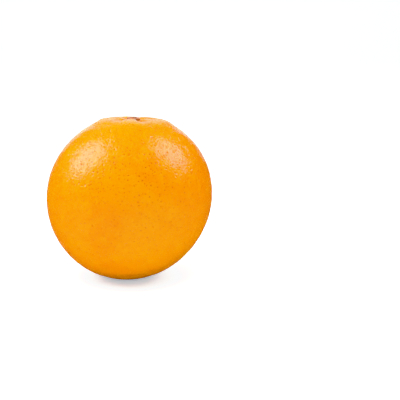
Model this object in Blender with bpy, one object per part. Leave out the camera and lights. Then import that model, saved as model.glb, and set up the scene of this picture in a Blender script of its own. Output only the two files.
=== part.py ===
"""A whole ripe grapefruit lying on a table: the fruit, and the dry calyx left in its stem end.

Metres, +Z up. The fruit rests on a small flat spot in the plane Z = 0, and the origin is the middle
of its footprint. The viewer stands at -Y. The fruit's own axis runs from the blossom end, below, to
the stem end, above, and leans a few degrees back and to the right.
"""

import math

import bmesh
import bpy
import numpy as np
from mathutils import Matrix, Vector

MM = 0.001
FULL_TURN = 2.0 * math.pi
GOLDEN_ANGLE = math.pi * (3.0 - math.sqrt(5.0))

# The body before anything is pressed into it: a round form, a little lopsided and fuller below.
EQUATOR_RADIUS = 54.2 * MM
POLE_RADIUS = 54.4 * MM
LOPSIDED = 1.0 * MM
FULLER_BELOW = 1.0 * MM

# The way the fruit lies: its stem end leans to the right and away from the viewer.
LEAN_RIGHT = math.radians(3.4)
LEAN_BACK = math.radians(2.0)
REST_SINK = 0.6 * MM
REST_FADE = 4.0 * MM

# The stem end: a broad shallow basin between two higher shoulders, and a pit in its middle.
BASIN_DEPTH = 2.0 * MM
BASIN_RADIUS = 14.0 * MM
SHOULDER_HEIGHT = 0.7 * MM
SHOULDER_RADIUS = 21.0 * MM
SHOULDER_WIDTH = 5.2 * MM
SHOULDER_SADDLE = 0.4
PIT_DEPTH = 1.5 * MM
PIT_FLOOR_RADIUS = 5.6 * MM
PIT_RIM_RADIUS = 8.6 * MM
PIT_FLOOR_HEIGHT = POLE_RADIUS - FULLER_BELOW - BASIN_DEPTH - PIT_DEPTH

# Soft furrows run out of the pit and leave a lobe of peel between each two of them. The one at
# FURROW_TURN is the deepest, and the one across the pit from it the shallowest.
FURROWS = 5
FURROW_TURN = math.radians(-61.0)
FURROW_DEPTH = 1.5 * MM
FURROW_UNEVENNESS = 0.25
FURROW_HALF_TURN = math.radians(14.0)
FURROW_MIDDLE = 9.5 * MM
FURROW_REACH = 7.5 * MM

# The blossom end: the dent where the flower's style dropped off, in the middle of the rest spot.
SCAR_RADIUS = 2.4 * MM
SCAR_DEPTH = 1.1 * MM
SCAR_POINTS = 12

# The oil pores of the peel, larger than life: each is one sunk point in a ring of higher ones.
PORES = 1600
PORE_DEPTH = 0.3 * MM
PORE_DEPTH_SPREAD = 0.4
PORE_JITTER = 0.35
PORE_SEED = 7
PORE_ZONE_TOP = 18.2 * MM
PORE_ZONE_BOTTOM = 5.4 * MM
LAND_UNEVENNESS = 0.1 * MM

# Round the stem end the points lie on rings instead, so that the pit and furrows are cut cleanly.
STEM_RING_RADII_MM = (2.8, 5.6, 6.4, 7.4, 8.6, 10.3, 12.4, 15.2)
STEM_RING_POINTS = 30
INNERMOST_RING_POINTS = 10

# The calyx: a thin disc with five blunt sepals, and the stub of the stalk standing on it.
CALYX_GAP = 0.3 * MM
SEPAL_RADIUS = 4.7 * MM
NOTCH_RADIUS = 3.8 * MM
SEPAL_BLUNTNESS = 0.7
CALYX_THICKNESS = 0.9 * MM
SEPAL_LIFT = 0.3 * MM
STUB_RADIUS = 2.1 * MM
STUB_HEIGHT = 1.0 * MM
STUB_HOLLOW = 0.3 * MM
CALYX_POINTS = 40

PEEL_COLOUR = (0.93, 0.36, 0.012, 1.0)
PEEL_ROUGHNESS = 0.36
CALYX_COLOUR = (0.20, 0.11, 0.045, 1.0)
CALYX_ROUGHNESS = 0.8


def bell(distance, width):
    """A smooth hump: 1 where the distance is nothing, and near 0 two widths away."""
    return np.exp(-((distance / width) ** 2))


def ease(value, low, high):
    """0 up to low, 1 from high, and a smooth rise between them."""
    share = np.clip((value - low) / (high - low), 0.0, 1.0)
    return share * share * (3.0 - 2.0 * share)


def furrow_cut(radius_out, turn):
    """How deep the furrows are at that distance from the axis and that turn round it."""
    spacing = FULL_TURN / FURROWS
    off = (turn - FURROW_TURN + spacing / 2.0) % spacing - spacing / 2.0
    depth = FURROW_DEPTH * (1.0 + FURROW_UNEVENNESS * np.cos(turn - FURROW_TURN))
    along = bell(radius_out - FURROW_MIDDLE, FURROW_REACH)
    return depth * along * bell(off, FURROW_HALF_TURN)


def peel_radius(directions):
    """Distance from the fruit's middle to its peel, along unit directions in the fruit's own frame."""
    x, y, z = directions.T
    radius_out = POLE_RADIUS * np.hypot(x, y)
    turn = np.arctan2(y, x)
    above = z > 0.0

    radius = 1.0 / np.sqrt((x * x + y * y) / EQUATOR_RADIUS**2 + z * z / POLE_RADIUS**2)
    radius += 2.0 * LOPSIDED * x * z - FULLER_BELOW * z**3

    saddle = 1.0 + SHOULDER_SADDLE * np.cos(2.0 * turn)
    shoulder = SHOULDER_HEIGHT * saddle * bell(radius_out - SHOULDER_RADIUS, SHOULDER_WIDTH)
    basin = BASIN_DEPTH * bell(radius_out, BASIN_RADIUS)
    radius += above * (shoulder - basin - furrow_cut(radius_out, turn))

    floor = PIT_FLOOR_HEIGHT / np.maximum(z, 0.5)
    in_pit = above * (1.0 - ease(radius_out, PIT_FLOOR_RADIUS, PIT_RIM_RADIUS))
    radius += in_pit * (floor - radius)

    scar = SCAR_DEPTH * (1.0 - ease(radius_out, 0.0, SCAR_RADIUS))
    return radius - ~above * scar


def ring_directions(radius_out, count, upwards):
    """Unit directions of a ring of points that far from the axis, near the stem or blossom end."""
    polar = math.asin(radius_out / POLE_RADIUS)
    turn = FURROW_TURN + np.arange(count) * FULL_TURN / count
    level = np.full(count, math.cos(polar) if upwards else -math.cos(polar))
    return np.stack([math.sin(polar) * np.cos(turn), math.sin(polar) * np.sin(turn), level], axis=1)


def end_directions():
    """The points of both ends: a pole at each, with rings round it."""
    rings = [np.array([[0.0, 0.0, 1.0], [0.0, 0.0, -1.0]])]
    for radius_mm in STEM_RING_RADII_MM:
        innermost = radius_mm == STEM_RING_RADII_MM[0]
        count = INNERMOST_RING_POINTS if innermost else STEM_RING_POINTS
        rings.append(ring_directions(radius_mm * MM, count, upwards=True))
    rings.append(ring_directions(SCAR_RADIUS / 2.0, SCAR_POINTS, upwards=False))
    rings.append(ring_directions(SCAR_RADIUS, SCAR_POINTS, upwards=False))
    return np.concatenate(rings)


def pore_directions(draw):
    """The pores' unit directions: a golden-angle spiral round the fruit, each point moved a little."""
    top = math.sqrt(1.0 - (PORE_ZONE_TOP / POLE_RADIUS) ** 2)
    bottom = -math.sqrt(1.0 - (PORE_ZONE_BOTTOM / POLE_RADIUS) ** 2)
    spacing = math.sqrt(FULL_TURN * (top - bottom) / PORES)
    number = np.arange(PORES)
    height = top + (bottom - top) * (number + 0.5) / PORES
    out = np.sqrt(1.0 - height * height)
    turn = number * GOLDEN_ANGLE
    points = np.stack([out * np.cos(turn), out * np.sin(turn), height], axis=1)
    points += draw.uniform(-0.5, 0.5, points.shape) * PORE_JITTER * spacing
    return points / np.linalg.norm(points, axis=1, keepdims=True)


def pored_sphere(draw):
    """A unit sphere as a bmesh, and how far each of its points is to be sunk into the peel.

    The hull of all the points joins each pore to its neighbours. A new point in each face between
    three pores, and each edge between two pores turned to join the new points beside it, leaves
    every pore alone in a ring of the new ones.
    """
    ends, pores = end_directions(), pore_directions(draw)
    sphere = bmesh.new()
    for direction in np.concatenate([ends, pores]):
        sphere.verts.new(direction)
    bmesh.ops.convex_hull(sphere, input=sphere.verts)
    sphere.verts.ensure_lookup_table()
    pore_points = set(sphere.verts[len(ends) :])
    between_pores = {face for face in sphere.faces if pore_points.issuperset(face.verts)}
    inner_edges = [edge for edge in sphere.edges if between_pores.issuperset(edge.link_faces)]
    bmesh.ops.poke(sphere, faces=list(between_pores))
    bmesh.ops.rotate_edges(sphere, edges=inner_edges)
    for vertex in sphere.verts:
        vertex.co.normalize()

    new_points = len(sphere.verts) - len(ends) - len(pores)
    spread = draw.uniform(-PORE_DEPTH_SPREAD, PORE_DEPTH_SPREAD, len(pores))
    sinks = (np.zeros(len(ends)), PORE_DEPTH * (1.0 + spread), draw.uniform(0.0, LAND_UNEVENNESS, new_points))
    return sphere, np.concatenate(sinks)


def lean():
    """The turn from the fruit's own frame to the way it lies."""
    return Matrix.Rotation(-LEAN_BACK, 3, "X") @ Matrix.Rotation(LEAN_RIGHT, 3, "Y")


def lie_down(directions, sinks):
    """The peel's points as the fruit lies, and the place of the fruit's middle.

    The lowest part is pressed flat into the plane Z = 0, and the relief fades out beside it.
    """
    turned = directions @ np.array(lean()).T
    radius = peel_radius(directions)
    height = turned[:, 2] * radius
    middle_height = -(height.min() + REST_SINK)
    radius -= sinks * ease(height + middle_height, 0.0, REST_FADE)
    points = turned * radius[:, None]
    across = (points[:, :2].min(axis=0) + points[:, :2].max(axis=0)) / 2.0
    middle = np.array([-across[0], -across[1], middle_height])
    points += middle
    points[:, 2] = np.maximum(points[:, 2], 0.0)
    return points, middle


def add_object(name, form, material):
    """A smooth-shaded object made of a bmesh, which is freed."""
    bmesh.ops.recalc_face_normals(form, faces=form.faces)
    mesh = bpy.data.meshes.new(name)
    form.to_mesh(mesh)
    form.free()
    mesh.materials.append(material)
    mesh.shade_smooth()
    made = bpy.data.objects.new(name, mesh)
    bpy.context.scene.collection.objects.link(made)
    return made


def make_fruit(material):
    """The fruit, with an empty on the floor of its pit, turned as the fruit lies."""
    sphere, sinks = pored_sphere(np.random.default_rng(PORE_SEED))
    directions = np.array([vertex.co for vertex in sphere.verts])
    points, middle = lie_down(directions, sinks)
    for vertex, point in zip(sphere.verts, points):
        vertex.co = point
    add_object("fruit", sphere, material)

    pit_floor = bpy.data.objects.new("pit_floor", None)
    bpy.context.scene.collection.objects.link(pit_floor)
    pit_floor.location = Vector(middle) + lean() @ Vector((0.0, 0.0, PIT_FLOOR_HEIGHT))
    pit_floor.rotation_euler = lean().to_euler()
    return pit_floor


def calyx_rings():
    """The calyx's rings, from under its rim to the hollow in the stub's top.

    Each has its share of the sepals' outline, its share of the stub's radius, and its height.
    """
    under = CALYX_GAP
    top = under + CALYX_THICKNESS
    stub_top = top + STUB_HEIGHT
    return (
        (0.90, 0.00, under),
        (1.00, 0.00, under + 0.55 * CALYX_THICKNESS),
        (0.95, 0.00, top + SEPAL_LIFT),
        (0.78, 0.00, top),
        (0.00, 1.35, top - 0.15 * CALYX_THICKNESS),
        (0.00, 1.05, top + 0.15 * STUB_HEIGHT),
        (0.00, 1.00, stub_top - 0.10 * STUB_HEIGHT),
        (0.00, 0.88, stub_top),
        (0.00, 0.40, stub_top - STUB_HOLLOW),
    )


def make_calyx(material):
    """The calyx and stalk stub as one solid, standing on the plane Z = 0 round the origin."""
    turn = FURROW_TURN + np.arange(CALYX_POINTS) * FULL_TURN / CALYX_POINTS
    over_lobes = 0.5 - 0.5 * np.cos(FURROWS * (turn - FURROW_TURN))
    outline = NOTCH_RADIUS + (SEPAL_RADIUS - NOTCH_RADIUS) * over_lobes**SEPAL_BLUNTNESS
    form = bmesh.new()
    loops = []
    for sepal_share, stub_share, height in calyx_rings():
        radius = sepal_share * outline + stub_share * STUB_RADIUS
        points = zip(radius * np.cos(turn), radius * np.sin(turn), np.full(CALYX_POINTS, height))
        loops.append([form.verts.new(point) for point in points])
    for lower, upper in zip(loops, loops[1:]):
        for number in range(CALYX_POINTS):
            after = (number + 1) % CALYX_POINTS
            form.faces.new((lower[number], lower[after], upper[after], upper[number]))
    form.faces.new(loops[0])
    form.faces.new(loops[-1])
    return add_object("calyx", form, material)


def make_material(name, colour, roughness):
    material = bpy.data.materials.new(name)
    material.use_nodes = True
    material.diffuse_color = colour
    shader = material.node_tree.nodes["Principled BSDF"]
    shader.inputs["Base Color"].default_value = colour
    shader.inputs["Roughness"].default_value = roughness
    shader.inputs["Metallic"].default_value = 0.0
    return material


def main():
    for old in list(bpy.data.objects):
        bpy.data.objects.remove(old)
    pit_floor = make_fruit(make_material("waxed_peel", PEEL_COLOUR, PEEL_ROUGHNESS))
    calyx = make_calyx(make_material("dry_calyx", CALYX_COLOUR, CALYX_ROUGHNESS))
    calyx.parent = pit_floor


main()
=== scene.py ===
# %% [markdown]
# # A whole grapefruit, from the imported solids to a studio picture
#
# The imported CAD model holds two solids: the fruit and the dry calyx in its stem end. They have the
# right size and the right main forms, but a real peel has thousands of oil pores and a real calyx
# is cracked and wrinkled. This script loads the model as a fixed frame, makes a finer skin for
# each solid, gives both skins their finish, and lights them in a small white studio.

import math

import bmesh
import bpy
import numpy as np
from mathutils import Matrix, Vector


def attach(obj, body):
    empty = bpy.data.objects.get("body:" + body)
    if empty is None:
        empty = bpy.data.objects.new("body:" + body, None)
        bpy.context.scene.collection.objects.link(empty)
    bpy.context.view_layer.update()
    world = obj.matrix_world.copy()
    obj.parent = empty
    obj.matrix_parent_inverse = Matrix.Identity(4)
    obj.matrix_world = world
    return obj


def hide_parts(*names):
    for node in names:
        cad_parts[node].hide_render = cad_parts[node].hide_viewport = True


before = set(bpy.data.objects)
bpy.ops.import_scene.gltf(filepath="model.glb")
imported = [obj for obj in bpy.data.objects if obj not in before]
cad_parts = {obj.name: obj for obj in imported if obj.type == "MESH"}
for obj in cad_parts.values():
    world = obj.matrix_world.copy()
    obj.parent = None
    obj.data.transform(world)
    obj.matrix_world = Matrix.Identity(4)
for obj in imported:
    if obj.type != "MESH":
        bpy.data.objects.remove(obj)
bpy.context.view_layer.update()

# %% [markdown]
# ## The camera
#
# A grapefruit is small, so a catalogue picture of one is taken from close by with a long lens. From
# about 70 cm away and 12 degrees above the table the lens sees the stem end almost edge-on, which
# is why only a thin band of the calyx shows. The fruit stands left of the picture's middle, so the
# camera stays level with the table's edge and simply stands a little to the right.

# %% Camera
EYE = (0.04625, -0.71647, 0.20459)
AIM = (0.04620, -0.00047, 0.05177)
LENS_MM = 100.4

camera_data = bpy.data.cameras.new("camera")
camera_data.lens = LENS_MM
camera = bpy.data.objects.new("camera", camera_data)
camera.location = EYE
camera.rotation_euler = (Vector(AIM) - Vector(EYE)).to_track_quat("-Z", "Y").to_euler()
bpy.context.scene.collection.objects.link(camera)
bpy.context.scene.camera = camera
print("camera", round((Vector(AIM) - Vector(EYE)).length, 3), "m from what it looks at")

# %% [markdown]
# ## The form of the fruit
#
# A grapefruit is nearly a ball, so its skin is easiest to describe by one number for each direction
# from its middle: how far out the peel is. Everything else is added to that number. Two smooth
# steps do all the shaping. `bell` is a hump that fades to nothing, and `ease` is a soft step from
# 0 to 1. Whole arrays of directions go through these functions at once, so no loop runs over the
# seventy thousand points of the skin.

# %% Smooth steps
MM = 0.001
FULL_TURN = 2.0 * math.pi
GOLDEN_ANGLE = math.pi * (3.0 - math.sqrt(5.0))


def bell(distance, width):
    """e to the power of minus (distance over width) squared: 1 at nothing, near 0 two widths away."""
    return np.exp(-((distance / width) ** 2))


def ease(value, low, high):
    """s squared times (3 - 2 s), where s is how far value is from low to high, held within 0 and 1."""
    share = np.clip((value - low) / (high - low), 0.0, 1.0)
    return share * share * (3.0 - 2.0 * share)


# %% [markdown]
# The stem end is the part that gives a grapefruit its character. The peel sinks into a broad basin
# between two higher shoulders, and five furrows run out of a pit in the middle, with a soft lobe of
# peel between each two. These are the sizes of the CAD solid, so the new skin lies on it.

# %% Sizes of the fruit
EQUATOR_RADIUS = 54.2 * MM
POLE_RADIUS = 54.4 * MM
LOPSIDED = 1.0 * MM
FULLER_BELOW = 1.0 * MM
BASIN_DEPTH = 2.0 * MM
BASIN_RADIUS = 14.0 * MM
SHOULDER_HEIGHT = 0.7 * MM
SHOULDER_RADIUS = 21.0 * MM
SHOULDER_WIDTH = 5.2 * MM
SHOULDER_SADDLE = 0.4
PIT_DEPTH = 1.5 * MM
PIT_FLOOR_RADIUS = 5.6 * MM
PIT_RIM_RADIUS = 8.6 * MM
PIT_FLOOR_HEIGHT = POLE_RADIUS - FULLER_BELOW - BASIN_DEPTH - PIT_DEPTH
PIT_LEAST_Z = 0.5
FURROWS = 5
FURROW_TURN = math.radians(-61.0)
FURROW_DEPTH = 1.5 * MM
FURROW_UNEVENNESS = 0.25
FURROW_HALF_TURN = math.radians(14.0)
FURROW_MIDDLE = 9.5 * MM
FURROW_REACH = 7.5 * MM
SCAR_RADIUS = 2.4 * MM
SCAR_DEPTH = 1.1 * MM
SKIN_INSET = 0.05 * MM


def furrow_cut(radius_out, turn):
    """A hump across each furrow times a hump along it, times a depth that varies round the fruit."""
    spacing = FULL_TURN / FURROWS
    off = (turn - FURROW_TURN + spacing / 2.0) % spacing - spacing / 2.0
    depth = FURROW_DEPTH * (1.0 + FURROW_UNEVENNESS * np.cos(turn - FURROW_TURN))
    along = bell(radius_out - FURROW_MIDDLE, FURROW_REACH)
    return depth * along * bell(off, FURROW_HALF_TURN)


def peel_radius(directions):
    """An ellipsoid's radius, plus the shoulders, minus the basin, the furrows, the pit and the scar."""
    x, y, z = directions.T
    radius_out = POLE_RADIUS * np.hypot(x, y)
    turn = np.arctan2(y, x)
    above = z > 0.0
    radius = 1.0 / np.sqrt((x * x + y * y) / EQUATOR_RADIUS**2 + z * z / POLE_RADIUS**2)
    radius += 2.0 * LOPSIDED * x * z - FULLER_BELOW * z**3
    saddle = 1.0 + SHOULDER_SADDLE * np.cos(2.0 * turn)
    shoulder = SHOULDER_HEIGHT * saddle * bell(radius_out - SHOULDER_RADIUS, SHOULDER_WIDTH)
    basin = BASIN_DEPTH * bell(radius_out, BASIN_RADIUS)
    radius += above * (shoulder - basin - furrow_cut(radius_out, turn))
    floor = PIT_FLOOR_HEIGHT / np.maximum(z, PIT_LEAST_Z)
    in_pit = above * (1.0 - ease(radius_out, PIT_FLOOR_RADIUS, PIT_RIM_RADIUS))
    radius += in_pit * (floor - radius)
    scar = SCAR_DEPTH * (1.0 - ease(radius_out, 0.0, SCAR_RADIUS))
    return radius - ~above * scar - SKIN_INSET


# %% [markdown]
# ## Where the pores are
#
# The oil glands in a citrus peel show as small round dents a little over 2 mm apart, in no straight
# rows but evenly filled, like seeds in a sunflower. The same golden-angle spiral that packs sunflower
# seeds gives that pattern: each next point turns by 137.5 degrees. A random shift of every point,
# by up to nearly half the way to the next, then takes away the spiral arms that the eye would find.

# %% Directions of the pores
PORES = 8200
PORE_JITTER = 0.9
SEED = 11
draw = np.random.default_rng(SEED)


def spiral_directions(count, jitter):
    """Height runs evenly from 1 to -1 and the turn grows by the golden angle, then each is jittered."""
    number = np.arange(count)
    height = 1.0 - (2.0 * number + 1.0) / count
    out = np.sqrt(1.0 - height * height)
    turn = number * GOLDEN_ANGLE
    points = np.stack([out * np.cos(turn), out * np.sin(turn), height], axis=1)
    spacing = math.sqrt(4.0 * math.pi / count)
    points += draw.uniform(-0.5, 0.5, points.shape) * jitter * spacing
    return points / np.linalg.norm(points, axis=1, keepdims=True)


pore_directions = spiral_directions(PORES, PORE_JITTER)
print(PORES, "pores")

# %% [markdown]
# ## A mesh that follows its pores
#
# A grid of squares can't follow dents that lie between its lines: some would be hit by a point and
# some missed. It is better to let every pore be a point of the mesh. On a ball, the convex hull of
# all the points joins each one to its natural neighbours, and Blender works it out in a moment.

# %% Join each pore to its neighbours


def hull_triangles(directions):
    """The hull of points on a ball: corners and sides of its triangles, and the ends of its edges."""
    cloud = bpy.data.meshes.new("cloud")
    cloud.from_pydata(directions, [], [])
    hull = bmesh.new()
    hull.from_mesh(cloud)
    bmesh.ops.convex_hull(hull, input=hull.verts)
    bmesh.ops.recalc_face_normals(hull, faces=hull.faces)
    hull.to_mesh(cloud)
    hull.free()
    corners = np.empty(len(cloud.loops), np.int32)
    cloud.loops.foreach_get("vertex_index", corners)
    sides = np.empty(len(cloud.loops), np.int32)
    cloud.loops.foreach_get("edge_index", sides)
    ends = np.empty(2 * len(cloud.edges), np.int32)
    cloud.edges.foreach_get("vertices", ends)
    bpy.data.meshes.remove(cloud)
    return corners.reshape(-1, 3), sides.reshape(-1, 3), ends.reshape(-1, 2)


corners, sides, ends = hull_triangles(pore_directions)
print(len(corners), "triangles between pores")

# %% [markdown]
# Each triangle is then cut into nine. Every edge gets two new points, a third and two thirds along,
# and each triangle one in its middle. So every pore stands alone in a ring of about six points of
# its own, which make its wall, and the middles between three pores carry the land. The whole cut is
# a few array sums, because a new point's number follows from its edge's or its triangle's number.

# %% Cut every triangle into nine


def cut_in_nine(corners, sides, ends, count):
    """Corner triangles (corner, near point, far point of the side before) and six round each middle."""
    starts_here = ends[sides, 0] == corners
    near = count + 2 * sides + np.where(starts_here, 0, 1)
    far = count + 2 * sides + np.where(starts_here, 1, 0)
    middle = count + 2 * len(ends) + np.arange(len(corners))
    cut = []
    for here, after, before in ((0, 1, 2), (1, 2, 0), (2, 0, 1)):
        cut.append((corners[:, here], near[:, here], far[:, before]))
        cut.append((near[:, here], far[:, here], middle))
        cut.append((far[:, here], near[:, after], middle))
    return np.concatenate([np.stack(triangle, axis=1) for triangle in cut])


def spread_values(at_pores, beside_pores, in_middles):
    """One array for all points, in their order: the pores, two points for each edge, the middles."""
    return np.concatenate([at_pores, beside_pores[ends].ravel(), in_middles])


skin_triangles = cut_in_nine(corners, sides, ends, PORES)
first_end, second_end = pore_directions[ends[:, 0]], pore_directions[ends[:, 1]]
thirds = np.stack([2.0 * first_end + second_end, first_end + 2.0 * second_end], axis=1).reshape(-1, 3)
skin_directions = np.concatenate([pore_directions, thirds, pore_directions[corners].sum(axis=1)])
skin_directions /= np.linalg.norm(skin_directions, axis=1, keepdims=True)
print(len(skin_directions), "points and", len(skin_triangles), "triangles in the skin")

# %% [markdown]
# ## The relief of the peel
#
# No two pores are alike, and that is what makes the gloss on a real peel break up into bright and
# dark flecks: with equal dents it would look like a golf ball. So each pore draws its own depth and
# how far its wall is drawn in, some of the land between pores has a tiny dent too, and the land
# itself swells and sinks a little over a few millimetres. The relief fades out in the pit and on
# the rest spot.

# %% Relief
PORE_DEPTH = 0.38 * MM
PORE_DEPTH_SPREAD = 0.6
WALL_SHARE = (0.0, 0.15)
SMALL_PORE_DEPTH = 0.12 * MM
SMALL_PORE_SPREAD = (0.3, 1.0)
SMALL_PORE_SHARE = 0.3
SWELL_DEPTH = 0.06 * MM
SWELL_SIZES = (4.0 * MM, 11.0 * MM)
SWELL_WAVES = 48


def swell(points, sizes, waves):
    """The sum of sine waves in random directions, divided by the root of half their number."""
    toward = draw.normal(size=(waves, 3))
    toward /= np.linalg.norm(toward, axis=1, keepdims=True)
    length = draw.uniform(*sizes, waves)
    start = draw.uniform(0.0, FULL_TURN, waves)
    phase = points @ (toward * (FULL_TURN / length)[:, None]).T + start
    return np.sin(phase).sum(axis=1) / math.sqrt(waves / 2.0)


pore_depth = PORE_DEPTH * (1.0 + PORE_DEPTH_SPREAD * draw.uniform(-1.0, 1.0, PORES))
wall_depth = pore_depth * draw.uniform(*WALL_SHARE, PORES)
has_small_pore = draw.random(len(corners)) < SMALL_PORE_SHARE
small_depth = has_small_pore * SMALL_PORE_DEPTH * draw.uniform(*SMALL_PORE_SPREAD, len(corners))
sinks = spread_values(pore_depth, wall_depth, small_depth)
swelling = SWELL_DEPTH * swell(skin_directions * EQUATOR_RADIUS, SWELL_SIZES, SWELL_WAVES)
print("pores", (pore_depth.min() / MM).round(3), "to", (pore_depth.max() / MM).round(3), "mm deep")

# %% [markdown]
# ## Laying the fruit down
#
# The fruit leans a few degrees to the right and back, and its lowest part is pressed flat where it
# rests. The skin's place comes from the same rule as the solid's, so the two lie on each other.
# What belongs to the stem end or to the scar is told by the distance from the fruit's axis, which is
# set far away on the other half, so that nothing shows on both.

# %% Lay the skin on the table
LEAN_RIGHT = math.radians(3.4)
LEAN_BACK = math.radians(2.0)
REST_SINK = 0.6 * MM
REST_FADE = 4.0 * MM
STEM_FADE = (5.0 * MM, 11.0 * MM)
FAR_AWAY = 1.0

lean = Matrix.Rotation(-LEAN_BACK, 3, "X") @ Matrix.Rotation(LEAN_RIGHT, 3, "Y")
turned = skin_directions @ np.array(lean).T
smooth_radius = peel_radius(skin_directions)
smooth_height = turned[:, 2] * smooth_radius
middle_height = -(smooth_height.min() + REST_SINK)
skin_x, skin_y, skin_z = skin_directions.T
axis_distance = POLE_RADIUS * np.hypot(skin_x, skin_y)
stem_distance = np.where(skin_z > 0.0, axis_distance, FAR_AWAY)
scar_distance = np.where(skin_z < 0.0, axis_distance, FAR_AWAY)
relief_share = ease(stem_distance, *STEM_FADE) * ease(smooth_height + middle_height, 0.0, REST_FADE)
sunk = np.maximum(sinks + np.maximum(swelling + SWELL_DEPTH, 0.0), 0.0) * relief_share
skin_points = turned * (smooth_radius - sunk)[:, None]
across = (skin_points[:, :2].min(axis=0) + skin_points[:, :2].max(axis=0)) / 2.0
fruit_middle = np.array([-across[0], -across[1], middle_height])
skin_points += fruit_middle
skin_points[:, 2] = np.maximum(skin_points[:, 2], 0.0)
print("the fruit's middle is at", (fruit_middle / MM).round(2), "mm")

# %% [markdown]
# The finish has to know where it is, so the mesh carries a few numbers for each point: how deep in a
# pore it is, and how near the stem, a furrow or the scar.

# %% Put the skin in a mesh
WALL_MARK = 0.25
SMALL_PORE_MARK = 0.5
NEAR_STEM = (4.0 * MM, 17.0 * MM)
WORN_AROUND_STEM = (20.0 * MM, 30.0 * MM)
STEM_HALF = (-0.1, 0.5)
SCAR_EDGE = (0.7 * SCAR_RADIUS, 1.1 * SCAR_RADIUS)


def add_piece(name, points, faces, attributes):
    """A smooth-shaded mesh object at the origin, with one number for each point under each name."""
    mesh = bpy.data.meshes.new(name)
    mesh.from_pydata(points, [], faces)
    for key, values in attributes.items():
        layer = mesh.attributes.new(key, "FLOAT", "POINT")
        layer.data.foreach_set("value", values.astype(np.float32))
    mesh.shade_smooth()
    mesh.validate()
    made = bpy.data.objects.new(name, mesh)
    bpy.context.scene.collection.objects.link(made)
    print(name, len(mesh.vertices), "points,", len(mesh.polygons), "faces")
    return made


pore_mark = spread_values(
    pore_depth / pore_depth.max(),
    WALL_MARK * wall_depth / wall_depth.max(),
    SMALL_PORE_MARK * has_small_pore,
)
peel = add_piece(
    "peel",
    skin_points,
    skin_triangles,
    {
        "pore": pore_mark * relief_share,
        "near_stem": 1.0 - ease(stem_distance, *NEAR_STEM),
        "shoulder": 1.0 - ease(stem_distance, *WORN_AROUND_STEM),
        # stem_half: where the painted shade in the pores is heavier
        "stem_half": ease(skin_z, *STEM_HALF),
        # the furrow's depth, which also sets the painted shade in the colour
        "furrow": furrow_cut(stem_distance, np.arctan2(skin_y, skin_x)) / FURROW_DEPTH,
        "scar": 1.0 - ease(scar_distance, *SCAR_EDGE),
    },
)
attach(peel, "root")
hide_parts("fruit")

# %% [markdown]
# ## Shader maths in plain Python
#
# A material is a web of nodes, and a web built by hand is hard to read. Here one small class wraps
# an output socket, so that `1 - mask` adds the Math node it needs. A second class holds a material
# while it is made, and its one method `node` adds any other node.

# %% Shader helpers


class Field:
    """What varies over a surface: the output socket of a node. Plus, minus and times add Math nodes."""

    def __init__(self, finish, socket):
        self.finish = finish
        self.socket = socket

    def math(self, operation, first, second):
        return self.finish.node("Math", {"operation": operation}, {0: first, 1: second})

    def __add__(self, other):
        return self.math("ADD", self, other)

    def __sub__(self, other):
        return self.math("SUBTRACT", self, other)

    def __rsub__(self, other):
        return self.math("SUBTRACT", other, self)

    def __mul__(self, other):
        return self.math("MULTIPLY", self, other)

    __radd__ = __add__
    __rmul__ = __mul__


class Finish:
    """A material on a Principled shader. node() adds a node and gives back one of its outputs."""

    def __init__(self, name):
        self.material = bpy.data.materials.new(name)
        self.material.use_nodes = True
        self.tree = self.material.node_tree
        self.shader = self.tree.nodes["Principled BSDF"]
        self.place = self.node("TexCoord", output="Object")

    def node(self, kind, settings=None, inputs=None, output=0):
        """Settings are set first, then each input gets its value, or a link from a Field."""
        made = self.tree.nodes.new("ShaderNode" + kind)
        for key, value in (settings or {}).items():
            setattr(made, key, value)
        for key, value in (inputs or {}).items():
            self.feed(made.inputs[key], value)
        return Field(self, made.outputs[output])

    def feed(self, socket, value):
        if isinstance(value, Field):
            self.tree.links.new(value.socket, socket)
        else:
            socket.default_value = value

    def surface(self, **inputs):
        """Feeds the shader's own sockets: Base_Color is its Base Color, and so on."""
        for key, value in inputs.items():
            self.feed(self.shader.inputs[key.replace("_", " ")], value)

    def noise(self, size, detail=2.0, roughness=0.5):
        """Soft blobs between 0 and 1, about size across, in the piece's own metres."""
        inputs = {"Vector": self.place, "Scale": 1.0 / size, "Detail": detail, "Roughness": roughness}
        return self.node("TexNoise", inputs=inputs)

    def step(self, value, low, high):
        """A soft step: 0 below low and 1 above high."""
        settings = {"interpolation_type": "SMOOTHSTEP"}
        inputs = {"Value": value, "From Min": low, "From Max": high}
        return self.node("MapRange", settings, inputs)

    def blend(self, factor, first, second):
        """Colour first where factor is 0 and second where it is 1."""
        return self.node("Mix", {"data_type": "RGBA"}, {0: factor, 6: first, 7: second}, output=2)

    def attribute(self, name):
        """One of the numbers that the mesh carries for each point."""
        return self.node("Attribute", {"attribute_name": name}, output="Fac")

    def bump(self, height, depth):
        """The normals of a surface that is raised by height times depth."""
        inputs = {"Strength": 1.0, "Distance": depth, "Height": height}
        return self.node("Bump", inputs=inputs, output="Normal")
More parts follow.
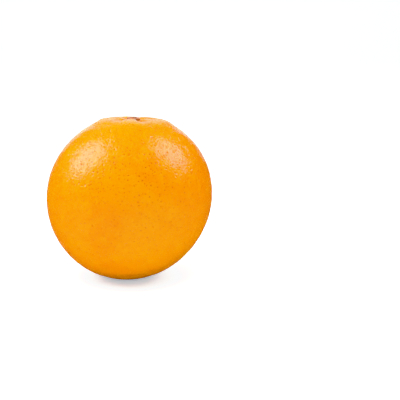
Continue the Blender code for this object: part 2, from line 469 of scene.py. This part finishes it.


# %% [markdown]
# ## The finish of the peel
#
# Ripe peel is orange from the pigment in its outermost layer, and it isn't one orange: broad areas
# are more golden or deeper, and finer mottling lies over them. The pores are darker, partly from the
# oil in each gland and partly from painted shade in their dents, which is heavier on the stem half,
# where the highlights lie. The furrows get a painted shade of deeper orange, and near the stem the
# green of the unripe fruit leaves an olive tint. Light goes a short way into the rind, which
# subsurface scattering gives.
#
# The wax on top makes the gloss. It is fairly sharp on the land between the pores and much duller
# in them, so the pores show as dark dots inside each highlight. Round the stem it is worn and duller
# too. A thin, softer coat spreads a faint haze round the highlights, and a little sheen lightens the
# rim. The finest unevenness of the wax is too small for the mesh, so it comes from a bump.

# %% Colours of the peel
GOLDEN = (0.54, 0.176, 0.001, 1.0)
ORANGE = (0.53, 0.154, 0.0, 1.0)
PALE_GOLD = (0.55, 0.220, 0.003, 1.0)
# Painted shade: the furrows are darkened to this deeper orange
FURROW_SHADE_ORANGE = (0.34, 0.095, 0.004, 1.0)
# Dark colour of the pores and pits: partly the oil in the glands, partly painted shade in the dents
OIL_AND_PORE_SHADE = (0.20, 0.048, 0.0, 1.0)
OLIVE = (0.36, 0.21, 0.03, 1.0)
CORK = (0.21, 0.105, 0.04, 1.0)

# %% [markdown]
# Most of the patterns are noises. Each is given by its size, its detail and how strong that detail
# is. An edge is the two values between which a pattern goes from nothing to full. A share says how
# far a pattern pulls the colour its way.

# %% Patterns in the colour
BROAD = (45.0 * MM, 2.0)
BROAD_EDGE = (0.35, 0.65)
MOTTLING = (7.0 * MM, 3.0, 0.6)
MOTTLING_EDGE = (0.4, 0.75)
TINT = (5.0 * MM, 3.0)
TINT_EDGE = (0.25, 0.7)
PIT_SPACING = 1.2 * MM
PIT_EDGE = (0.05, 0.4)
HOLE_EDGE = (0.3, 0.75)
PALE_SHARE = 0.35
# How dark the pores get: oil colour plus painted shade, with more painted shade on the stem half
OIL_AND_SHADE_SHARE = 0.4
STEM_HALF_PORE_SHADE_SHARE = 0.35
PIT_SHARE = 0.12
OLIVE_SHARE = 0.5
# How much painted shade the furrows get
FURROW_SHADE_SHARE = 0.55


def peel_colour(finish, holes, pits, scar):
    """Orange and golden in broad areas, and over it one pattern's colour after the other."""
    broad = finish.step(finish.noise(*BROAD), *BROAD_EDGE)
    mottled = finish.step(finish.noise(*MOTTLING), *MOTTLING_EDGE)
    # Pores darkened partly by oil, partly by painted shade in their dents, heavier on the stem half
    oil_and_pore_shade = holes * (OIL_AND_SHADE_SHARE + finish.attribute("stem_half") * STEM_HALF_PORE_SHADE_SHARE)
    tinted = finish.attribute("near_stem") * finish.step(finish.noise(*TINT), *TINT_EDGE)
    colour = finish.blend(broad, ORANGE, GOLDEN)
    colour = finish.blend(mottled * PALE_SHARE, colour, PALE_GOLD)
    # Pores and small pits take the dark oil colour, which is partly painted shade
    colour = finish.blend(oil_and_pore_shade, colour, OIL_AND_PORE_SHADE)
    colour = finish.blend(pits * PIT_SHARE, colour, OIL_AND_PORE_SHADE)
    colour = finish.blend(tinted * OLIVE_SHARE, colour, OLIVE)
    # Painted shade in the furrows, deeper where they are deeper
    colour = finish.blend(finish.attribute("furrow") * FURROW_SHADE_SHARE, colour, FURROW_SHADE_ORANGE)
    return finish.blend(scar, colour, CORK)


# %% Gloss of the peel
SMOOTHEST_WAX = 0.15
WAX = (3.0 * MM, 2.0)
WAX_ROUGHER = 0.08
HOLES_ROUGHER = 0.42
PITS_ROUGHER = 0.2
SHOULDER_ROUGHER = 0.19
SCAR_ROUGHER = 0.3
COAT = 0.22
COAT_GONE_IN_HOLES = 0.2
COAT_GONE_ON_SHOULDER = 0.12
GRAIN = (0.5 * MM, 3.0, 0.6)
GRAIN_HEIGHT = 0.5
PIT_SINK = 0.6
BUMP_DEPTH = 0.05 * MM


def peel_finish():
    """The roughness is the smoothest wax's plus what each pattern adds. The coat wears off likewise."""
    finish = Finish("waxed_peel")
    shoulder = finish.attribute("shoulder")
    scar = finish.attribute("scar")
    holes = finish.step(finish.attribute("pore"), *HOLE_EDGE)
    cells = finish.node("TexVoronoi", inputs={"Vector": finish.place, "Scale": 1.0 / PIT_SPACING})
    pits = 1.0 - finish.step(cells, *PIT_EDGE)
    roughness = SMOOTHEST_WAX + finish.noise(*WAX) * WAX_ROUGHER + holes * HOLES_ROUGHER
    roughness = roughness + pits * PITS_ROUGHER + shoulder * SHOULDER_ROUGHER + scar * SCAR_ROUGHER
    height = finish.noise(*GRAIN) * GRAIN_HEIGHT - pits * PIT_SINK
    finish.surface(
        Base_Color=peel_colour(finish, holes, pits, scar),
        Roughness=roughness,
        Normal=finish.bump(height, BUMP_DEPTH),
        Specular_IOR_Level=0.25,
        Coat_Weight=COAT - holes * COAT_GONE_IN_HOLES - shoulder * COAT_GONE_ON_SHOULDER,
        Coat_Roughness=0.36,
        Sheen_Weight=0.5,
        Sheen_Roughness=0.15,
        Sheen_Tint=(1.0, 0.8, 0.6, 1.0),
        Subsurface_Weight=0.25,
        Subsurface_Radius=(1.0, 0.35, 0.08),
        Subsurface_Scale=2.0 * MM,
    )
    return finish.material


peel.data.materials.append(peel_finish())
print("the peel's material has", len(peel.data.materials[0].node_tree.nodes), "nodes")

# %% [markdown]
# ## The calyx
#
# Where the stalk let go, the fruit keeps its calyx: five short sepals, dried to a brown star, with
# a stub of the stalk in the middle. It is a round thing with a lobed edge, so its surface is a
# profile carried round an axis. Each ring of the profile has a share of the sepals' outline, a
# share of the stub's radius and a height in millimetres. A smooth curve through them gives the rest.

# %% Profile of the calyx
SEPAL_RADIUS = 4.7 * MM
NOTCH_RADIUS = 3.7 * MM
SEPAL_BLUNTNESS = 0.7
STUB_RADIUS = 2.1 * MM
CALYX_COLUMNS = 240
RINGS_BETWEEN = 6
CALYX_RINGS = np.array(
    [
        (0.55, 0.00, 0.25),
        (0.88, 0.00, 0.15),
        (1.00, 0.00, 0.45),
        (1.01, 0.00, 0.95),
        (0.94, 0.00, 1.35),
        (0.84, 0.00, 1.28),
        (0.72, 0.00, 1.12),
        (0.62, 0.00, 1.02),
        (0.00, 1.30, 1.05),
        (0.00, 1.08, 1.25),
        (0.00, 1.02, 1.68),
        (0.00, 1.00, 1.98),
        (0.00, 0.90, 2.10),
        (0.00, 0.74, 2.03),
        (0.00, 0.52, 1.86),
        (0.00, 0.25, 1.82),
    ]
)


def smooth_rings(rings, between):
    """A Catmull-Rom curve through the rows: each stretch is a cubic in the four rows round it."""
    padded = np.concatenate([rings[:1], rings, rings[-1:]])
    a, b, c, d = padded[:-3, None], padded[1:-2, None], padded[2:-1, None], padded[3:, None]
    t = (np.arange(between) / between)[None, :, None]
    curve = b + 0.5 * t * (c - a + t * (2.0 * a - 5.0 * b + 4.0 * c - d + t * (3.0 * (b - c) + d - a)))
    return np.concatenate([curve.reshape(-1, rings.shape[1]), rings[-1:]])


calyx_rings = smooth_rings(CALYX_RINGS, RINGS_BETWEEN)
print(len(calyx_rings), "rings of", CALYX_COLUMNS, "points")

# %% [markdown]
# Dry sepals aren't alike. Some are longer, some curl up more, and all of them have a rib down the
# middle and wrinkles beside it. Fine fibres run along the sepals and the stub, and the cut face of
# the stub shows the ring of the stalk's wood. All of this is added to the rings as functions of the
# turn and the distance from the axis.

# %% Surface of the calyx
SEPAL_LENGTHS = np.array([1.0, 0.93, 0.98, 0.9, 0.96])
SEPAL_CURLS = np.array([0.10, 0.32, 0.05, 0.25, 0.15]) * MM
SEPAL_STARTS = (2.6 * MM, 3.6 * MM)
SEPAL_TOP = 0.6 * MM
CURL_STARTS = (3.4 * MM, 4.6 * MM)
RIB_HEIGHT = 0.12 * MM
RIB_WIDTH = 0.06
FIBRES = 31
FINE_FIBRES = 2.3 * FIBRES
FIBRE_SHARES = (0.6, 0.4)
FIBRE_HEIGHT = 0.05 * MM
SEPAL_FIBRE_HEIGHT = 0.7 * FIBRE_HEIGHT
STUB_WALL = (0.95, 1.25)
STUB_FACE_HEIGHT = 1.8 * MM
WOOD_RING_HEIGHT = 0.10 * MM
WOOD_RING_RADIUS = 0.62 * STUB_RADIUS
WOOD_RING_WIDTH = 0.12 * MM
WRINKLE_HEIGHT = 0.07 * MM
WRINKLE_SIZES = (0.7 * MM, 2.2 * MM)
WRINKLE_WAVES = 40
WRINKLE_STARTS = (0.3 * MM, 0.8 * MM)
LEAST_HEIGHT = 0.05 * MM


def calyx_points():
    """Each ring's shares times the outline, plus curls, ribs, fibres, the wood's ring and wrinkles."""
    turn = FURROW_TURN + np.arange(CALYX_COLUMNS) * FULL_TURN / CALYX_COLUMNS
    sepal = ((turn - FURROW_TURN) / (FULL_TURN / FURROWS)).astype(int) % FURROWS
    over_lobe = 0.5 - 0.5 * np.cos(FURROWS * (turn - FURROW_TURN))
    longest = 1.0 + (SEPAL_LENGTHS[sepal] - 1.0) * over_lobe
    outline = NOTCH_RADIUS + (SEPAL_RADIUS - NOTCH_RADIUS) * over_lobe**SEPAL_BLUNTNESS
    sepal_share, stub_share, height = calyx_rings.T[:, :, None]
    radius = sepal_share * outline * longest + stub_share * STUB_RADIUS
    height = np.broadcast_to(height * MM, radius.shape).copy()
    on_sepal = ease(radius, *SEPAL_STARTS) * (height > SEPAL_TOP)
    height += on_sepal * SEPAL_CURLS[sepal] * over_lobe * ease(radius, *CURL_STARTS)
    height += on_sepal * RIB_HEIGHT * bell(over_lobe - 1.0, RIB_WIDTH)
    coarse, fine = FIBRE_SHARES
    fibres = np.sin(FIBRES * turn) * coarse + np.sin(FINE_FIBRES * turn + 1.0) * fine
    on_stub = (stub_share > STUB_WALL[0]) * (stub_share < STUB_WALL[1])
    radius += on_stub * FIBRE_HEIGHT * fibres
    height += on_sepal * SEPAL_FIBRE_HEIGHT * fibres
    on_face = (stub_share > 0.0) * (height > STUB_FACE_HEIGHT)
    height += on_face * WOOD_RING_HEIGHT * bell(radius - WOOD_RING_RADIUS, WOOD_RING_WIDTH)
    points = np.stack([radius * np.cos(turn), radius * np.sin(turn), height], axis=2).reshape(-1, 3)
    wrinkles = swell(points, WRINKLE_SIZES, WRINKLE_WAVES) * ease(points[:, 2], *WRINKLE_STARTS)
    points[:, 2] = np.maximum(points[:, 2] + WRINKLE_HEIGHT * wrinkles, LEAST_HEIGHT)
    return points


def closed_grid_faces(rings, columns):
    """Squares between neighbouring rings, and a fan of triangles to a pole at each end."""
    ring, column = np.meshgrid(np.arange(rings - 1), np.arange(columns), indexing="ij")
    after = (column + 1) % columns
    here = ring * columns
    above = here + columns
    squares = np.stack([here + column, here + after, above + after, above + column], axis=2)
    turn = np.arange(columns)
    turn_after = (turn + 1) % columns
    last = (rings - 1) * columns
    bottom = np.stack([turn_after, turn, np.full(columns, rings * columns)], axis=1)
    top = np.stack([last + turn, last + turn_after, np.full(columns, rings * columns + 1)], axis=1)
    return squares.reshape(-1, 4).tolist() + bottom.tolist() + top.tolist()


# %% [markdown]
# The calyx is made upright, then raised to the floor of the pit and leaned with the fruit. It
# carries two numbers for its finish: how far out and how high up each point is, as a share.

# %% Set the calyx in the pit
UNDERSIDE_HEIGHT = 0.25 * MM
CALYX_HEIGHT = 2.2 * MM

grid = calyx_points()
face_height = grid[-CALYX_COLUMNS:, 2].mean()
own_points = np.concatenate([grid, [(0.0, 0.0, UNDERSIDE_HEIGHT), (0.0, 0.0, face_height)]])
on_fruit = own_points + np.array([0.0, 0.0, PIT_FLOOR_HEIGHT])
calyx = add_piece(
    "dry_calyx",
    on_fruit @ np.array(lean).T + fruit_middle,
    closed_grid_faces(len(calyx_rings), CALYX_COLUMNS),
    {
        "out": np.hypot(*own_points.T[:2]) / SEPAL_RADIUS,
        "up": own_points[:, 2] / CALYX_HEIGHT,
    },
)
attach(calyx, "root")
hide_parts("calyx")

# %% [markdown]
# ## The finish of the calyx
#
# Dry plant skin is dull and papery: tan where it is worn thin, dark brown between its fibres, and
# still a little green in patches. The cut face of the stub is paler wood. Nothing on it shines.

# %% Calyx material
TAN = (0.46, 0.20, 0.085, 1.0)
BARK = (0.24, 0.08, 0.03, 1.0)
DRY_GREEN = (0.30, 0.17, 0.06, 1.0)
WOOD = (0.38, 0.24, 0.12, 1.0)
FIBRE_NOISE = (0.5 * MM, 4.0, 0.65)
FIBRE_EDGE = (0.35, 0.7)
GREEN_NOISE = (1.8 * MM, 2.0)
GREEN_EDGE = (0.4, 0.65)
GREEN_SHARE = 0.5
FACE_STARTS = (0.8, 0.86)
FACE_ENDS = (0.36, 0.46)
WOOD_SHARE = 0.8
DRY_ROUGHNESS = 0.7
FIBRES_ROUGHER = 0.15


def calyx_finish():
    """Bark to tan by the fibres, then green patches, and wood where it is high up and near the axis."""
    finish = Finish("dry_calyx")
    fibres = finish.step(finish.noise(*FIBRE_NOISE), *FIBRE_EDGE)
    green = finish.step(finish.noise(*GREEN_NOISE), *GREEN_EDGE)
    near_axis = 1.0 - finish.step(finish.attribute("out"), *FACE_ENDS)
    face = finish.step(finish.attribute("up"), *FACE_STARTS) * near_axis
    colour = finish.blend(fibres, BARK, TAN)
    colour = finish.blend(green * GREEN_SHARE, colour, DRY_GREEN)
    colour = finish.blend(face * WOOD_SHARE, colour, finish.blend(fibres, TAN, WOOD))
    finish.surface(
        Base_Color=colour,
        Roughness=DRY_ROUGHNESS + fibres * FIBRES_ROUGHER,
        Normal=finish.bump(fibres, BUMP_DEPTH),
    )
    return finish.material


calyx.data.materials.append(calyx_finish())
print("the calyx's material has", len(calyx.data.materials[0].node_tree.nodes), "nodes")

# %% [markdown]
# ## The studio
#
# The fruit lies on a white floor that meets a backdrop in a wide bend, so no edge shows behind it.
# Two tall oval softboxes stand left and right, higher than the fruit. Each shows in the wax as a
# soft patch, and the pores break both patches up. A wide light overhead, a little in front, evens
# out the body, and white light from all round fills the shadows. Of all this white, only the
# softboxes and the backdrop are let into the gloss, as black cards round a table keep the rest out.
# The backdrop reaches less far to the right, so the right rim keeps its orange.
#
# White paper holds a brightener, which gives off a little bluish light of its own. Here it takes
# away the orange that the fruit throws on the floor, so that the shadow stays grey.

# %% Floor and backdrop
FLOOR_SIDES = (-3.0, 3.0)
BACKDROP_SIDES = (-1.0, 0.7)
FRONT = -1.6
BEND_START = 1.6
BEND_RADIUS = 0.8
BEND_ROWS = 24
WALL_HEIGHT = 1.2
PAPER_COLUMNS = 9
PAPER_WHITE = (0.97, 0.97, 0.97, 1.0)
PAPER_GLOW = 0.42
BRIGHTENER = (0.58, 0.88, 1.0, 1.0)


def paper_points(along, height, sides, columns):
    """A profile of places along the table and their heights, carried from the left to the right."""
    x, y = np.meshgrid(np.linspace(*sides, columns), along)
    return np.stack([x, y, np.broadcast_to(height[:, None], x.shape)], axis=2).reshape(-1, 3)


def open_grid_faces(rows, columns):
    """One square for each cell of a grid that isn't closed on itself."""
    row, column = np.meshgrid(np.arange(rows - 1), np.arange(columns - 1), indexing="ij")
    first = row * columns + column
    return np.stack([first, first + 1, first + columns + 1, first + columns], axis=2).reshape(-1, 4)


def paper_finish():
    finish = Finish("white_paper")
    finish.surface(
        Base_Color=PAPER_WHITE,
        Roughness=0.9,
        Specular_IOR_Level=0.0,
        Emission_Color=BRIGHTENER,
        Emission_Strength=PAPER_GLOW,
    )
    return finish.material


def add_paper(name, along, height, sides):
    points = paper_points(along, height, sides, PAPER_COLUMNS)
    paper = add_piece(name, points, open_grid_faces(len(along), PAPER_COLUMNS), {})
    paper.data.materials.append(paper_finish())
    return paper


bend = np.linspace(0.0, math.pi / 2.0, BEND_ROWS)
floor = add_paper("floor", np.array([FRONT, BEND_START]), np.array([0.0, 0.0]), FLOOR_SIDES)
add_paper(
    "backdrop",
    np.append(BEND_START + BEND_RADIUS * np.sin(bend), BEND_START + BEND_RADIUS),
    np.append(BEND_RADIUS * (1.0 - np.cos(bend)), BEND_RADIUS + WALL_HEIGHT),
    BACKDROP_SIDES,
)
floor.visible_glossy = False

# %% Lights
LIGHT_DISTANCE = 0.85
LEFT_LIGHT = (-0.718, 0.0, 0.695)
LEFT_SIZE = (0.58, 0.72)
LEFT_POWER = 5.8
RIGHT_LIGHT = (0.687, 0.088, 0.721)
RIGHT_SIZE = (0.5, 0.7)
RIGHT_POWER = 4.4
TOP_LIGHT = (-0.15, -0.35, 1.0)
TOP_SIZE = (0.8, 0.8)
TOP_POWER = 7.5
ROOM_LIGHT = 1.02


def add_softbox(name, direction, size, power):
    """An oval light in the given direction from the fruit's middle, which it faces."""
    light = bpy.data.lights.new(name, "AREA")
    light.shape = "ELLIPSE"
    light.size, light.size_y = size
    light.energy = power
    stand = bpy.data.objects.new(name, light)
    stand.location = Vector(fruit_middle) + Vector(direction).normalized() * LIGHT_DISTANCE
    stand.rotation_euler = Vector(direction).to_track_quat("Z", "Y").to_euler()
    bpy.context.scene.collection.objects.link(stand)
    return stand


add_softbox("softbox_left", LEFT_LIGHT, LEFT_SIZE, LEFT_POWER)
add_softbox("softbox_right", RIGHT_LIGHT, RIGHT_SIZE, RIGHT_POWER)
overhead = add_softbox("overhead", TOP_LIGHT, TOP_SIZE, TOP_POWER)
overhead.visible_glossy = False

world = bpy.data.worlds.new("room")
world.use_nodes = True
room = world.node_tree.nodes["Background"]
room.inputs["Color"].default_value = (1.0, 1.0, 1.0, 1.0)
room.inputs["Strength"].default_value = ROOM_LIGHT
world.cycles_visibility.glossy = False
bpy.context.scene.world = world
print("lights of", LEFT_POWER, "W left,", RIGHT_POWER, "W right and", TOP_POWER, "W overhead")

# %% [markdown]
# A camera doesn't record light in a straight line. Its darkest tones fall to black, and its
# brightest bend gently into white, so that an orange in full light stays below the limit and the
# pores still show in it. A short curve does the same to this picture. A second one is for blue
# alone: orange peel gives back almost none, and what little there is would show as grain, so it is
# held down, while the blue in the highlights is lifted a little to keep them pale.

# %% Film curve
BLACK_LEVEL = 0.022
BLUE_BLACK_LEVEL = 0.75 * BLACK_LEVEL
WHITE_LEVEL = 1.4
SHOULDER = ((0.21, 0.30), (0.43, 0.60), (0.62, 0.875), (0.77, 0.955), (0.96, 0.97))
BLUE_TOE = ((0.016, 0.0045), (0.05, 0.05), (0.15, 0.185), (0.4, 0.42), (0.7, 0.7))

film = bpy.context.scene.view_settings
film.view_transform = "Standard"
film.use_curve_mapping = True
curves = film.curve_mapping
curves.black_level = (BLACK_LEVEL, BLACK_LEVEL, BLUE_BLACK_LEVEL)
curves.white_level = (WHITE_LEVEL, WHITE_LEVEL, WHITE_LEVEL)
_, _, blue_curve, whole_curve = curves.curves
for light_in, light_out in SHOULDER:
    whole_curve.points.new(light_in, light_out)
for light_in, light_out in BLUE_TOE:
    blue_curve.points.new(light_in, light_out).handle_type = "VECTOR"
curves.update()
print("film curve with", len(whole_curve.points), "points, and", len(blue_curve.points), "for blue")
